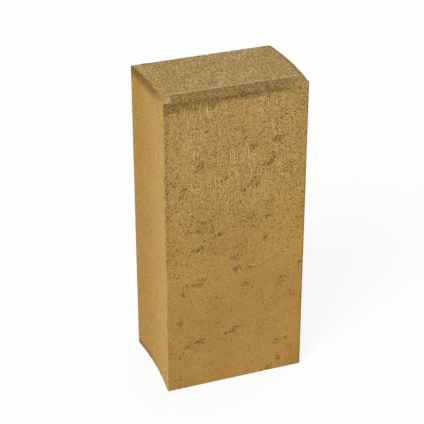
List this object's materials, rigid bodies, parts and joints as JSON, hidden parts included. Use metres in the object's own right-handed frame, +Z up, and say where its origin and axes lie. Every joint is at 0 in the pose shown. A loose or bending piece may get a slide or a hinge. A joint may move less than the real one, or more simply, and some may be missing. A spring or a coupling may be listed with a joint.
{
  "type": "concrete palisade",
  "caption": "Upright cast concrete palisade block with a bevelled flat top, one side bowed in and the other bowed out so that blocks in a row nest.",
  "frame": {"origin": "centre of the foot, under the middle of the block", "axes": "+Z up along the block's height, +Y through its depth from the front face to the back, +X along the row of blocks, towards the side that bows out"},
  "size_m": [0.1837, 0.12, 0.4],
  "materials": {
    "concrete": "matte"
  },
  "bodies": {
    "root": {"palisade": "concrete"}
  },
  "joints": []
}
